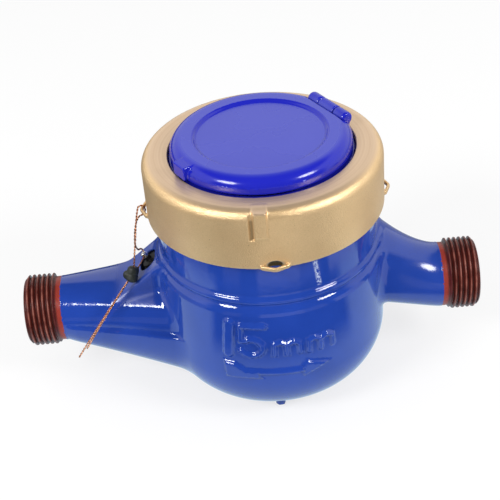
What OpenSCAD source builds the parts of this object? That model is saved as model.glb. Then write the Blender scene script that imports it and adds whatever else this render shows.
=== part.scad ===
// Multi-jet vane-wheel water meter with threaded pipe ends, brass collar and hinged lid.
// Frame: origin at the middle of the flat base, +X along the flow, +Z up, millimetres.

/* [Pipe ends] */
// Length between the two pipe faces
overall_length = 165; // [160:1:190]
// Inlet face to the register axis
inlet_length = 90; // [86:1:96]
// Pipe axis above the base
pipe_height = 32; // [31:0.5:36]
// Major radius of the pipe thread
thread_r = 13.05; // [12.6:0.05:13.25]
// Length of each threaded end
thread_len = 11.5; // [9:0.5:12]
// Radius of the relief behind the thread
relief_r = 11.7; // [11:0.1:12]
// Width of the relief behind the thread
relief_len = 2.5; // [1.5:0.5:3]
// Radius of the water way
bore_r = 7.5; // [6.5:0.1:8]

/* [Body casting] */
// Inside radius of the bowl
cavity_r = 35; // [34.6:0.1:36]
// Wall of the bowl
body_wall = 5.2; // [4.5:0.1:6]
// Radius of the round under the belly
belly_round = 23.5; // [22:0.5:24]
// Height of the belly shoulder above the pipe axis
shoulder_rise = 22.8; // [22:0.2:25]
// Round on the belly shoulder
shoulder_round = 3; // [1:0.5:4]
// Height of the raised size mark and flow arrow
mark_rise = 0.8; // [0.4:0.1:1]
// Radius of the nozzle where it leaves the relief
nozzle_r = 11.9; // [11.5:0.1:13]
// Half width of the inlet nozzle where it meets the belly
inlet_half_w = 22; // [18:0.5:24]
// Depth of the inlet nozzle below the pipe axis at the belly
inlet_drop = 26.2; // [20:0.2:27]
// Height of the inlet nozzle above the pipe axis at the belly
inlet_rise = 13.6; // [12:0.2:16]
// Height that the outlet nozzle gains at the belly
outlet_rise = 12.4; // [8:0.2:16]
// Height of the spigot rim above the pipe axis
spigot_rise = 49; // [47:0.5:52]
// Wall of the threaded spigot
spigot_wall = 3; // [2.5:0.1:3.5]
// Step from the spigot thread to the neck below it
neck_step = 0.5; // [0.2:0.1:1]
// Top of the inner shelf above the pipe axis
shelf_rise = 3; // [2:0.5:4]
// Thickness of the inner shelf
shelf_t = 4; // [3:0.5:5]
// Radius of the hole in the inner shelf
shelf_hole_r = 28.5; // [28:0.1:30]

/* [Regulator] */
// Slope of the boss face
boss_angle = 38.7; // [35:0.1:42]
// Width of the boss
boss_w = 18; // [14:0.5:20]
// Distance of the screw from the register axis
screw_x = 44; // [43:0.5:46]
// Radius of the screw head
screw_head_r = 3.4; // [3:0.1:4]
// Radius of the screw shank
screw_r = 2.4; // [2:0.1:2.6]
// Length of the screw shank
screw_len = 5.5; // [4:0.5:6]
// Depth of the recess for the head
recess_d = 2.4; // [2:0.1:3]

/* [Collar] */
// Height of the collar
collar_h = 21.8; // [20:0.2:23]
// Wall of the collar over the spigot
collar_wall = 3.5; // [3:0.1:4.5]
// Thickness of the collar lip over the glass
lip_t = 2.1; // [1.8:0.1:3]
// Radius of the opening in the collar
collar_open_r = 32.3; // [32:0.1:33.2]
// Round on the collar shoulder
collar_round = 4; // [2.5:0.1:4.5]
// Reach of a seal ear from the collar wall
ear_reach = 2.5; // [2.4:0.1:3]
// Width of a seal ear at its foot
ear_w = 10.4; // [9.6:0.2:12]
// Height of a seal ear
ear_h = 1.6; // [1.4:0.1:1.8]
// Wall of a seal ear
ear_wall = 1; // [0.8:0.1:1.1]
// Width of a wrench pad
pad_w = 5.6; // [4:0.2:8]
// Height of a wrench pad
pad_h = 10.1; // [8:0.1:11]

/* [Lid] */
// Radius of the lid
lid_r = 31.3; // [30.9:0.1:31.6]
// Height of the lid above its seat
lid_h = 4.9; // [4.6:0.1:6]
// Round on the lid edge
lid_round = 4.4; // [3.4:0.1:4.6]
// Radius of the recessed panel
panel_r = 22.8; // [20:0.2:24]
// Depth of the recessed panel
panel_d = 0.9; // [0.4:0.1:1.2]
// Thickness of the lid under the panel
lid_t = 1.6; // [1.2:0.1:1.8]
// Wall of the lid skirt
skirt_wall = 2; // [1.4:0.1:2.4]
// Direction of the hinge seen from above
hinge_az = 30; // [0:1:360]
// Distance of the hinge axis from the register axis
hinge_r = 29; // [28.8:0.1:29.6]
// Radius of the hinge knuckles
knuckle_r = 2.2; // [2:0.1:2.4]
// Length of the middle knuckle
knuckle_w = 8; // [6:0.2:9]
// Length of the whole hinge bar
hinge_w = 21; // [19:0.2:22]
// Radius of the hinge pin
pin_r = 0.8; // [0.6:0.1:1]
// Width of the thumb tab
tab_w = 6.8; // [5:0.2:9]
// Reach of the thumb tab past the lid edge
tab_reach = 1.3; // [0.8:0.1:2.5]
// Inside radius of the lid seat
seat_in_r = 29.2; // [28:0.1:29.4]
// Thickness of the seat flange
seat_t = 0.9; // [0.8:0.1:1.5]
// Rise of the lid seat over the collar
seat_rise = 0.5; // [0.2:0.1:1]

/* [Glass and seals] */
// Thickness of the glass
glass_t = 5.5; // [4:0.1:7]
// Thickness of the glass gasket
gasket_t = 1.5; // [1:0.1:2]
// Thickness of the slip ring
slip_t = 0.6; // [0.4:0.1:1]
// Inside radius of the gasket and the slip ring
gasket_in_r = 33; // [32.6:0.1:34]

/* [Measuring chamber] */
// Thickness of the gear case flange
case_flange_t = 1.5; // [1:0.1:2]
// Thickness of the gear case wall
case_wall = 2; // [1.6:0.1:2.4]
// Bottom of the gear case above the pipe axis
case_rise = 24; // [22:0.5:26]
// Thickness of the gear case floor
case_floor_t = 2; // [1.5:0.1:3]
// Outside radius of the strainer basket
strainer_r = 27.6; // [27:0.1:27.9]
// Wall of the strainer basket
strainer_wall = 1.4; // [1:0.1:1.8]
// Radius of the flanges on the shelf
flange_r = 32; // [31:0.1:33]
// Thickness of each flange on the shelf
flange_t = 1.4; // [1:0.1:2]
// Inside radius of the measuring chamber
chamber_r = 22; // [21:0.1:22.4]
// Wall of the measuring chamber
chamber_wall = 2.4; // [2:0.1:2.6]
// Chamber floor above the base
chamber_z = 11; // [10.5:0.1:12]
// Thickness of the chamber floor
chamber_floor_t = 2; // [1.5:0.1:2.5]
// Number of jets in each row
jet_count = 8; // [6:1:10]
// Width of a jet
jet_w = 3; // [2:0.1:4]
// Height of a jet
jet_h = 6; // [4:0.5:7]
// Number of strainer slots
slot_count = 20; // [12:1:28]
// Width of a strainer slot
slot_w = 2; // [1:0.1:2.5]

/* [Impeller] */
// Number of vanes
vane_count = 7; // [5:1:9]
// Radius over the vanes
vane_r = 20.4; // [18:0.1:20.6]
// Height of a vane
vane_h = 26; // [20:0.5:28]
// Thickness of a vane
vane_t = 1.2; // [0.8:0.1:1.8]
// Radius of the impeller hub
hub_r = 3.5; // [3:0.1:4.5]
// Radius of the impeller shaft
shaft_r = 1.2; // [1:0.05:1.25]
// Radius of the steel pivot
pivot_r = 0.75; // [0.5:0.05:1]

/* [Register] */
// Gear module
gear_m = 0.4; // [0.38:0.005:0.4]
// Thickness of a gear
gear_t = 1; // [0.8:0.1:1.2]
// Spacing of the gear levels
level_h = 1.6; // [1.4:0.1:1.8]
// Radius of a gear arbor
arbor_r = 0.55; // [0.4:0.05:0.6]
// Depth of the register base plate below the spigot rim
plate_drop = 14; // [13.5:0.1:14.5]
// Thickness of a register plate
plate_t = 1.4; // [1:0.1:1.6]
// Thickness of the dial
dial_t = 0.6; // [0.4:0.1:0.8]
// Circle of the pointer arbors
pointer_circle_r = 18.6; // [18:0.1:18.7]
// Length of a pointer
pointer_len = 5; // [4:0.1:5.6]

/* [Fits] */
// Radial running clearance of shafts and pins
run_clear = 0.05; // [0.02:0.01:0.1]
// Thread and seat clearance
seat_clear = 0.15; // [0.1:0.01:0.3]
// Clearance of parts that pass each other
pass_clear = 0.3; // [0.2:0.05:0.5]

/* [Hidden] */
$fn = 72;
eps = 0.01;
pinion_n = 9;
wheel_a_n = 27;
wheel_b_n = 30;
pointer_count = 8;
first_pointer_az = 200;
pointer_step = 45;
outlet_length = overall_length - inlet_length;
belly_r = cavity_r + body_wall;
spigot_r = cavity_r + spigot_wall;
neck_r = spigot_r + neck_step;
shoulder_z = pipe_height + shoulder_rise;
spigot_z = pipe_height + spigot_rise;
shelf_z = pipe_height + shelf_rise;
case_z = pipe_height + case_rise;
// stack that the collar clamps on the spigot rim
gasket_z = spigot_z + case_flange_t;
glass_z = gasket_z + gasket_t;
slip_z = glass_z + glass_t;
seat_z = slip_z + slip_t;
lip_z = seat_z + seat_t;
collar_top = lip_z + lip_t;
collar_z = collar_top - collar_h;
collar_bore_r = spigot_r + seat_clear;
collar_r = collar_bore_r + collar_wall;
stack_r = collar_bore_r - 0.8;
seat_top = collar_top + seat_rise;
lid_z = seat_top + 0.2;
lid_top = lid_z + lid_h;
hinge_z = lid_top - 1.3;
hinge_cut_r = hinge_r - knuckle_r - 0.5;
// slanted boss: its face passes through the screw point
boss_z = pipe_height + 19.1;
boss_foot_x = screw_x + 9.5;
// register levels and arbor places
plate_z = spigot_z - plate_drop;
level_z = plate_z + plate_t + 0.6;
top_plate_z = level_z + 4 * level_h + gear_t + 0.6;
dial_z = top_plate_z + plate_t;
dial_top = dial_z + dial_t;
pointer_z = dial_top + 0.5;
arbor_z = plate_z + 0.2;
case_in_r = cavity_r - 0.5 - case_wall;
plate_r = case_in_r - 0.2;
ledge_r = plate_r - 1.6;
c_a = gear_m * (pinion_n + wheel_a_n) / 2;
c_b = gear_m * (pinion_n + wheel_b_n) / 2;
function polar(r, a) = [r * cos(a), r * sin(a)];
function pointer_az(i) = first_pointer_az - pointer_step * i;
function pointer_pos(i) = polar(pointer_circle_r, pointer_az(i));
// point at ra from p and rb from q, on the right hand of p to q when s = -1
function meet(p, q, ra, rb, s) = let (d = norm(q - p), u = (q - p) / d,
    k = (ra * ra - rb * rb + d * d) / (2 * d), h = sqrt(ra * ra - k * k))
    p + u * k + [-u[1], u[0]] * h * s;
star_pos = polar(pointer_circle_r - c_b, first_pointer_az);
first_pos = meet([0, 0], star_pos, c_a, c_a, 1);
function idler_pos(i) = meet(pointer_pos(i), pointer_pos(i + 1), c_a, c_b, 1);
function bearing(p, q) = atan2(q[1] - p[1], q[0] - p[0]);
// levels that keep every wheel clear of its neighbours
function drive_level(i) = i % 2 == 0 ? 3 : 1;
function driven_level(i) = i % 2 == 0 ? 4 : 2;
// wire route, chosen by hand
wire_r = 0.3;
wire_pts = [
    [-71.5, -20.5, 24.5], [-67.94, -19.82, 29.51], [-64.37, -18.7, 34.22],
    [-60.8, -17.15, 38.62], [-57.23, -15.16, 42.71], [-53.66, -12.74, 46.5],
    [-51.21, -10.82, 48.92], [-48.9, -8.9, 51.4], [-48.3, -8.6, 54], [-47.5, -7.6, 59],
    [-46.7, -5.6, 63.5], [-46.1, -3.6, 67.5], [-45.5, -2, 70.4], [-45, -1, 72.3],
    [-44.7, -0.7, 73.2], [-43.75, -0.4, 73.65], [-42.8, -0.1, 73.2], [-42.42, 0.1, 72.2],
    [-42.42, 0.2, 71.2], [-42.75, 0.2, 70.2], [-43.7, 0.1, 69.5], [-44.9, -0.4, 69.1],
    [-46, -1.8, 67.6], [-46.8, -3.4, 64.5], [-47.2, -4.8, 60.5], [-46.7, -3, 57], [-46, 1, 54.4],
    [-45.4, 1.8, 53], [-45, 0, 52.4], [-45.4, -2.2, 52], [-47.2, -6, 51.2], [-48.7, -8.4, 50.2],
    [-51.46, -11.74, 48.99], [-54.09, -14.41, 46.58], [-57.48, -17.21, 43.05],
    [-60.86, -19.29, 39], [-64.25, -20.64, 34.45], [-68, -21.3, 28.8]];
bead_pos = [-49.2, -9.1, 50.8];

// closed ring of a nozzle section: half width w, height up above and dn below its middle
function nozzle_ring(x, zc, w, up, dn, n) = [for (j = [0:n - 1]) let (a = 360 * j / n)
    [x, w * cos(a), zc + (sin(a) > 0 ? up : dn) * sin(a)]];

// skin over rings of equal count, ordered along +X
module loft(rings) {
    n = len(rings[0]);
    m = len(rings);
    points = [for (r = rings) each r];
    sides = [for (i = [0:m - 2], j = [0:n - 1])
        let (a = i * n + j, b = i * n + (j + 1) % n, c = a + n, d = b + n) each [[a, c, d], [a, d, b]]];
    polyhedron(points, concat([[for (j = [0:n - 1]) j]],
        [[for (j = [0:n - 1]) (m - 1) * n + n - 1 - j]], sides), 4);
}

// inlet nozzle: a cone that widens and drops towards the lower chamber
module inlet_nozzle() {
    x0 = -inlet_length + thread_len + relief_len;
    x1 = -belly_r + 6;
    x2 = -belly_r + 14;
    k = (x2 - x0) / (x1 - x0);
    loft([nozzle_ring(x0, pipe_height, nozzle_r, nozzle_r, nozzle_r, 40),
        nozzle_ring(x2, pipe_height, nozzle_r + (inlet_half_w - nozzle_r) * k,
            nozzle_r + (inlet_rise - nozzle_r) * k, nozzle_r + (inlet_drop - nozzle_r) * k, 40)]);
}

// outlet nozzle: sweeps up towards the upper chamber
module outlet_nozzle() {
    x0 = outlet_length - thread_len - relief_len;
    x1 = belly_r - 4;
    loft([for (i = [9:-1:0]) let (t = i / 9 * 1.2, x = x0 + (x1 - x0) * t)
        nozzle_ring(x, pipe_height + 6 * pow(t, 1.3), nozzle_r + 4 * t * t,
            nozzle_r + outlet_rise * pow(t, 1.7), nozzle_r - 1.5 * t, 40)]);
}

// bowl and neck outline, turned about the register axis
module belly_outline() {
    intersection() {
        union() {
            square([belly_r - belly_round, shoulder_z]);
            translate([belly_r - belly_round, belly_round]) circle(belly_round);
            translate([0, belly_round])
                square([belly_r, shoulder_z - shoulder_round - belly_round]);
            translate([0, belly_round]) square([belly_r - shoulder_round, shoulder_z - belly_round]);
            translate([belly_r - shoulder_round, shoulder_z - shoulder_round])
                circle(shoulder_round);
            translate([0, pipe_height]) square([neck_r, collar_z - pipe_height - 1]);
            translate([neck_r, shoulder_z + 1.8]) circle(1.2);
            translate([0, pipe_height]) square([spigot_r, spigot_rise]);
        }
        square([2 * belly_r, 3 * pipe_height + spigot_rise]);
    }
}

// inside of the bowl with the shelf between the lower and the upper chamber
module cavity_outline() {
    inner_round = belly_round - body_wall;
    difference() {
        intersection() {
            union() {
                translate([cavity_r - inner_round, belly_round]) circle(inner_round);
                translate([0, body_wall]) square([cavity_r - inner_round, spigot_z]);
                translate([0, belly_round]) square([cavity_r, spigot_z]);
            }
            square([2 * belly_r, 2 * spigot_z]);
        }
        translate([shelf_hole_r, shelf_z - shelf_t]) square([belly_r, shelf_t]);
    }
}

// frame of the regulator: origin on the boss face, +Z out of the face
module at_regulator() {
    translate([-screw_x, 0, boss_z]) rotate([0, -boss_angle, 0]) children();
}

module boss() {
    slope = tan(boss_angle);
    x_in = cavity_r + 1;
    rotate([90, 0, 0]) translate([0, 0, -boss_w / 2]) linear_extrude(boss_w)
        polygon([[-boss_foot_x, pipe_height], [-boss_foot_x, boss_z - (boss_foot_x - screw_x) * slope],
            [-x_in, boss_z + (screw_x - x_in) * slope], [-x_in, pipe_height]]);
}

module pipe_end(x, dir) {
    translate([x, 0, pipe_height]) rotate([0, 90 * dir, 0]) {
        cylinder(r = thread_r, h = thread_len);
        cylinder(r = relief_r, h = thread_len + relief_len + 4);
    }
}

// straight stretch of the water way, then a slope to the chamber
module water_way(x, dir, rise) {
    bend = 18;
    run = abs(x) - bend - cavity_r + 7;
    translate([x - dir * eps, 0, pipe_height]) rotate([0, 90 * dir, 0]) cylinder(r = bore_r, h = bend);
    translate([x + dir * (bend - 2), 0, pipe_height])
        rotate([0, dir * (90 - atan(rise / run)), 0]) cylinder(r = bore_r, h = norm([run, rise]));
}

function on_bowl(u) = belly_r * sin(u / belly_r * 180 / PI);

// one letter of the unit, three stems under a bar
module unit_letter(u) {
    for (stem = [0, 4.3, 8.7]) translate([on_bowl(u + stem), 1.3]) square([1.9, 5.8]);
    translate([on_bowl(u), 5.7]) square([on_bowl(u + 8.7) - on_bowl(u) + 1.9, 1.8]);
}

// size mark over a flow arrow, as seen from the front, from the pipe axis up
module mark_outline() {
    polygon([[on_bowl(-18.3), 16.4], [on_bowl(-14.6), 16.4], [on_bowl(-15.9), 1], [on_bowl(-19.6), 1]]);
    polygon([[-13.9, 15.9], [-3.6, 15.9], [-3.6, 13.5], [-11.5, 13.5], [-11.6, 9.8], [-13.9, 8.2]]);
    translate([-9.3, 5.8]) difference() {
        circle(4.6, $fn = 24);
        circle(2.2, $fn = 24);
        translate([-6, 0.2]) square([4.6, 2.6]);
    }
    unit_letter(-2.8);
    unit_letter(9.1);
    polygon([[on_bowl(-20), -8.6], [-6.5, -8.6], [-6.5, -6.1], [6.6, -6.1], [6.6, -7.8],
        [on_bowl(17.2), -4.6], [6.6, -0.6], [6.6, -2.6], [-6.5, -2.6], [-6.5, -2.4], [on_bowl(-20), -2.4]]);
}

// cast relief that stands on the front of the bowl
module mould_marks() {
    intersection() {
        translate([0, 0, pipe_height]) rotate([90, 0, 0]) linear_extrude(belly_r + 5) mark_outline();
        difference() {
            translate([0, 0, pipe_height - 12]) cylinder(r = belly_r + mark_rise, h = 32);
            translate([0, 0, pipe_height - 13]) cylinder(r = belly_r - 1.5, h = 34);
        }
    }
}

// iron casting: bowl, nozzles, regulator boss, threaded ends
module body() color("royalblue") {
    difference() {
        union() {
            rotate_extrude() belly_outline();
            inlet_nozzle();
            outlet_nozzle();
            boss();
            mould_marks();
            pipe_end(-inlet_length, 1);
            pipe_end(outlet_length, -1);
            translate([-0.6, -(belly_r - belly_round) - 10.7, 0.4]) cylinder(r = 1.8, h = 5);
        }
        rotate_extrude() cavity_outline();
        water_way(-inlet_length, 1, -12);
        water_way(outlet_length, -1, 15);
        at_regulator() translate([0, 0, -recess_d]) {
            cylinder(r = screw_head_r + pass_clear, h = recess_d + 8);
            translate([0, 0, -screw_len - 1]) cylinder(r = screw_r + pass_clear, h = screw_len + 2);
        }
    }
}

// bright screw with a drilled fin for the wire
module regulator_screw() color("silver") {
    at_regulator() translate([0, 0, -recess_d + 0.6]) difference() {
        union() {
            cylinder(r = screw_head_r, h = recess_d - 0.6);
            translate([0, 0, -screw_len]) cylinder(r = screw_r, h = screw_len + eps);
            translate([-2, -0.8, 0]) cube([4, 1.6, recess_d + 2.4]);
        }
        translate([0, 0, recess_d + 1]) rotate([90, 0, 0]) cylinder(r = 0.7, h = 4, center = true);
    }
}

// rubber washer under the screw head
module regulator_seal() color("black") {
    at_regulator() translate([0, 0, -recess_d]) difference() {
        cylinder(r = screw_head_r, h = 0.6);
        translate([0, 0, -1]) cylinder(r = screw_r + seat_clear, h = 3);
    }
}

module collar_outline() {
    difference() {
        union() {
            square([collar_r, collar_h - collar_round]);
            square([collar_r - collar_round, collar_h]);
            translate([collar_r - collar_round, collar_h - collar_round]) circle(collar_round);
        }
        translate([-1, -1]) square([collar_bore_r + 1, collar_h - lip_t + 1]);
        translate([-1, -1]) square([collar_open_r + 1, collar_h + 2]);
    }
}

// triangular loop for the seal wire
module seal_ear() {
    foot = collar_r - 0.6;
    tip = collar_r + ear_reach;
    in_foot = collar_r + 0.15;
    in_tip = tip - ear_wall;
    in_w = ear_w / 2 - 1.7 * ear_wall;
    linear_extrude(ear_h) difference() {
        polygon([[foot, -ear_w / 2], [foot + 0.8, -ear_w / 2], [tip, -0.7], [tip, 0.7],
            [foot + 0.8, ear_w / 2], [foot, ear_w / 2]]);
        polygon([[in_foot, -in_w], [in_tip, -0.5], [in_tip, 0.5], [in_foot, in_w]]);
    }
}

// wrench pad with a flat face and a sloped foot, flush with the top of the collar
module wrench_pad() {
    face = collar_r + 0.5;
    low = collar_h - pad_h;
    back = collar_r - collar_round - 0.4;
    rotate([90, 0, 0]) translate([0, 0, -pad_w / 2]) linear_extrude(pad_w)
        polygon([[collar_r - 2, low - 1], [collar_r - 0.2, low - 1], [face, low + 0.4],
            [face, collar_h - 0.8], [face - 0.8, collar_h - 0.1], [back, collar_h - 0.1],
            [back, collar_h - 1], [collar_r - 2, collar_h - collar_round]]);
}

// brass ring nut that clamps the glass
module collar() color("darkkhaki") {
    translate([0, 0, collar_z]) {
        difference() {
            rotate_extrude() collar_outline();
            // turned chamfer at the mouth of the thread
            translate([0, 0, -eps])
                cylinder(r1 = collar_bore_r + 0.8, r2 = collar_bore_r, h = 0.8);
        }
        for (a = [0:90:270]) rotate(a) seal_ear();
        rotate(270 - 4.6) wrench_pad();
    }
}

module ring(r_in, r_out, h) {
    difference() {
        cylinder(r = r_out, h = h);
        translate([0, 0, -1]) cylinder(r = r_in, h = h + 2);
    }
}

module glass() color("lightcyan", 0.4) {
    translate([0, 0, glass_z]) cylinder(r = stack_r, h = glass_t);
}

module slip_ring() color("white") {
    translate([0, 0, slip_z]) ring(gasket_in_r, stack_r, slip_t);
}

module glass_gasket() color("dimgray") {
    translate([0, 0, gasket_z]) ring(gasket_in_r, stack_r, gasket_t);
}

// knuckle of the hinge, lying along the tangent
module knuckle(y, w) {
    translate([hinge_r, y, hinge_z]) rotate([-90, 0, 0]) cylinder(r = knuckle_r, h = w);
}

module pin_hole(clear) {
    translate([hinge_r, -hinge_w, hinge_z]) rotate([-90, 0, 0])
        cylinder(r = pin_r + clear, h = 2 * hinge_w);
}

// ring under the collar lip, with the two outer knuckles
module lid_seat() color("mediumblue") {
    rise_r = collar_open_r - pass_clear;
    end_w = (hinge_w - knuckle_w) / 2 - pass_clear;
    translate([0, 0, seat_z]) ring(seat_in_r, stack_r, seat_t);
    translate([0, 0, seat_z]) ring(seat_in_r, rise_r, seat_top - seat_z);
    rotate(hinge_az) difference() {
        for (y = [knuckle_w / 2 + pass_clear, -hinge_w / 2]) {
            knuckle(y, end_w);
            translate([hinge_r - 1.2, y, seat_top - 0.5])
                cube([2.2, end_w, hinge_z - seat_top + 0.5]);
        }
        pin_hole(run_clear);
    }
}

module hinge_pin() color("silver") {
    rotate(hinge_az) translate([hinge_r, -hinge_w / 2 + 0.2, hinge_z]) rotate([-90, 0, 0])
        cylinder(r = pin_r, h = hinge_w - 0.4);
}

module lid_outline(r, round) {
    intersection() {
        union() {
            square([r, lid_h - round]);
            square([r - round, lid_h]);
            translate([r - round, lid_h - round]) circle(round);
        }
        square([r, lid_h]);
    }
}

// moulded cap: rounded edge, recessed panel, skirt, middle knuckle and thumb tab
module lid() color("blue") {
    under = lid_h - panel_d - lid_t;
    rotate(hinge_az) difference() {
        union() {
            difference() {
                translate([0, 0, lid_z]) rotate_extrude() lid_outline(lid_r, lid_round);
                translate([0, 0, lid_top - panel_d])
                    cylinder(r1 = panel_r - 0.5, r2 = panel_r + 0.5, h = panel_d + eps);
                // hollow under the plate, kept solid beside the hinge
                difference() {
                    translate([0, 0, lid_z - eps]) cylinder(r = lid_r - skirt_wall, h = under);
                    translate([hinge_cut_r - skirt_wall, -lid_r, lid_z - 1])
                        cube([lid_r, 2 * lid_r, under + 2]);
                }
                translate([hinge_cut_r, -hinge_w / 2 - 0.6, lid_z - 1])
                    cube([lid_r, hinge_w + 1.2, lid_h + 2]);
            }
            knuckle(-knuckle_w / 2, knuckle_w);
            translate([hinge_cut_r - 0.5, -knuckle_w / 2, hinge_z - 1.1])
                cube([hinge_r - hinge_cut_r, knuckle_w, 2.4]);
            translate([-lid_r - tab_reach, -tab_w / 2, lid_z]) cube([tab_reach + 4, tab_w, lid_h - 0.5]);
        }
        pin_hole(run_clear);
    }
}

// cup that hangs on the spigot rim and carries the register
module gear_case() color("whitesmoke") {
    out_r = case_in_r + case_wall;
    difference() {
        union() {
            translate([0, 0, spigot_z]) cylinder(r = stack_r, h = case_flange_t);
            translate([0, 0, case_z]) cylinder(r = out_r, h = spigot_z - case_z + eps);
        }
        translate([0, 0, plate_z]) cylinder(r = case_in_r, h = spigot_z);
        translate([0, 0, case_z + case_floor_t]) cylinder(r = ledge_r, h = spigot_z);
        translate([0, 0, case_z - 1]) cylinder(r = shaft_r + run_clear, h = case_floor_t + 2);
    }
}

// slotted basket that hangs on the shelf
module strainer() color("gainsboro") {
    low = chamber_z - strainer_wall - 0.4;
    slot_h = shelf_z - shelf_t - low - 6;
    difference() {
        union() {
            translate([0, 0, shelf_z]) cylinder(r = flange_r, h = flange_t);
            translate([0, 0, low]) cylinder(r = strainer_r, h = shelf_z - low + eps);
        }
        translate([0, 0, low + strainer_wall])
            cylinder(r = strainer_r - strainer_wall, h = spigot_z);
        for (i = [0:slot_count - 1]) rotate(i * 360 / slot_count)
            translate([strainer_r - strainer_wall - 1, -slot_w / 2, low + 3])
                cube([strainer_wall + 2, slot_w, slot_h]);
    }
}

// row of slanted jets through the chamber wall
module jets(z, turn) {
    for (i = [0:jet_count - 1]) rotate(i * 360 / jet_count)
        translate([chamber_r + chamber_wall / 2, 0, z]) rotate(turn)
            cube([4 * chamber_wall, jet_w, jet_h], center = true);
}

// impeller box with its lower jets and upper ports
module chamber() color("ivory") {
    out_r = chamber_r + chamber_wall;
    difference() {
        union() {
            translate([0, 0, chamber_z]) cylinder(r = out_r, h = case_z - chamber_z);
            translate([0, 0, shelf_z + flange_t]) cylinder(r = flange_r, h = flange_t);
        }
        translate([0, 0, chamber_z + chamber_floor_t]) cylinder(r = chamber_r, h = spigot_z);
        translate([0, 0, chamber_z - 1]) cylinder(r = pivot_r + 1.25, h = chamber_floor_t + 2);
        jets(chamber_z + chamber_floor_t + 8, 50);
        jets(shelf_z + 2 * flange_t + 7, -50);
    }
}

// steel point that the impeller turns on
module pivot() color("silver") {
    translate([0, 0, chamber_z]) {
        cylinder(r = pivot_r + 1.25, h = chamber_floor_t);
        cylinder(r = pivot_r, h = chamber_floor_t + 5);
        translate([0, 0, chamber_floor_t + 5]) cylinder(r1 = pivot_r, r2 = 0.2, h = 0.6);
    }
}

// clock tooth outline
function gear_pts(n, turn) = [for (i = [0:n - 1], k = [0:3]) let (p = 360 / n,
    r = gear_m * (n / 2 + (k == 0 || k == 3 ? -1.2 : 0.85)), h = [-0.26, -0.085, 0.085, 0.26][k])
    polar(r, turn + (i + h) * p)];

module gear(n, level, turn) {
    translate([0, 0, level_z + level * level_h]) rotate(turn) linear_extrude(gear_t)
        polygon(gear_pts(n, 0));
}

// a pinion at p has a tooth on the line to q, its wheel at q has a gap there
function tooth_turn(p, q) = bearing(p, q);
function gap_turn(p, q, n) = bearing(q, p) + 180 / n;

// vane wheel with its shaft and first pinion
module impeller() color("seashell") {
    low = chamber_z + chamber_floor_t + 1.5;
    top = level_z + gear_t + 0.4;
    difference() {
        union() {
            translate([0, 0, low]) cylinder(r = hub_r, h = vane_h + 6);
            translate([0, 0, low + vane_h + 6 - eps]) cylinder(r = shaft_r, h = top - low - vane_h - 6);
            for (i = [0:vane_count - 1]) rotate(i * 360 / vane_count)
                translate([0, -vane_t / 2, low + 2]) cube([vane_r, vane_t, vane_h]);
            gear(pinion_n, 0, tooth_turn([0, 0], first_pos));
        }
        translate([0, 0, low - 1]) cylinder(r = pivot_r + run_clear, h = 5.5);
    }
}

// plate with pillars that carries the lower arbor ends
module register_base() color("whitesmoke") {
    difference() {
        union() {
            translate([0, 0, plate_z]) cylinder(r = plate_r, h = plate_t);
            for (a = [20, 140, 260]) rotate(a) translate([plate_r - 2.4, 0, plate_z])
                cylinder(r = 1.5, h = top_plate_z - plate_z);
        }
        translate([0, 0, plate_z - 1]) cylinder(r = shaft_r + pass_clear, h = plate_t + 2);
        arbor_holes(plate_z - 1, plate_t + 2);
    }
}

module arbor_holes(z, h) {
    pointer_holes(z, h);
    for (p = concat([first_pos], [for (i = [0:pointer_count - 2]) idler_pos(i)]))
        translate([p[0], p[1], z]) cylinder(r = arbor_r + run_clear, h = h, $fn = 24);
}

module pointer_holes(z, h) {
    for (p = concat([star_pos], [for (i = [0:pointer_count - 1]) pointer_pos(i)]))
        translate([p[0], p[1], z]) cylinder(r = arbor_r + run_clear, h = h, $fn = 24);
}

module register_top() color("whitesmoke") {
    difference() {
        translate([0, 0, top_plate_z]) cylinder(r = plate_r, h = plate_t);
        arbor_holes(top_plate_z - 1, plate_t + 2);
    }
}

module dial() color("white") {
    difference() {
        translate([0, 0, dial_z]) cylinder(r = plate_r, h = dial_t);
        pointer_holes(dial_z - 1, dial_t + 2);
    }
}

module arbor(top) {
    translate([0, 0, arbor_z]) cylinder(r = arbor_r, h = top - arbor_z, $fn = 24);
}

// gear between the impeller and the star
module first_gear() color("ivory") {
    translate([first_pos[0], first_pos[1], 0]) {
        arbor(dial_z - 0.2);
        gear(wheel_a_n, 0, gap_turn([0, 0], first_pos, wheel_a_n));
        gear(pinion_n, 1, tooth_turn(first_pos, star_pos));
    }
}

module star_gear() color("ivory") {
    translate([star_pos[0], star_pos[1], 0]) {
        arbor(pointer_z + 0.8);
        gear(wheel_a_n, 1, gap_turn(first_pos, star_pos, wheel_a_n));
        gear(pinion_n, 2, tooth_turn(star_pos, pointer_pos(0)));
    }
}

// six-armed flow star on its arbor
module star() color("crimson") {
    translate([star_pos[0], star_pos[1], pointer_z]) difference() {
        linear_extrude(0.6) polygon([for (i = [0:11]) polar(i % 2 == 0 ? 3.2 : 1.4, 30 * i)]);
        translate([0, 0, -1]) cylinder(r = arbor_r + 0.01, h = 3, $fn = 24);
    }
}

module pointer_gear(i) color("ivory") {
    p = pointer_pos(i);
    from = i == 0 ? star_pos : idler_pos(i - 1);
    translate([p[0], p[1], 0]) {
        arbor(pointer_z + 0.8);
        gear(wheel_b_n, i == 0 ? 2 : driven_level(i - 1), gap_turn(from, p, wheel_b_n));
        if (i < pointer_count - 1)
            gear(pinion_n, drive_level(i), tooth_turn(p, idler_pos(i)));
    }
}

module idler(i) color("ivory") {
    p = idler_pos(i);
    translate([p[0], p[1], 0]) {
        arbor(dial_z - 0.2);
        gear(wheel_a_n, drive_level(i), gap_turn(pointer_pos(i), p, wheel_a_n));
        gear(pinion_n, driven_level(i), tooth_turn(p, pointer_pos(i + 1)));
    }
}

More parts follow.
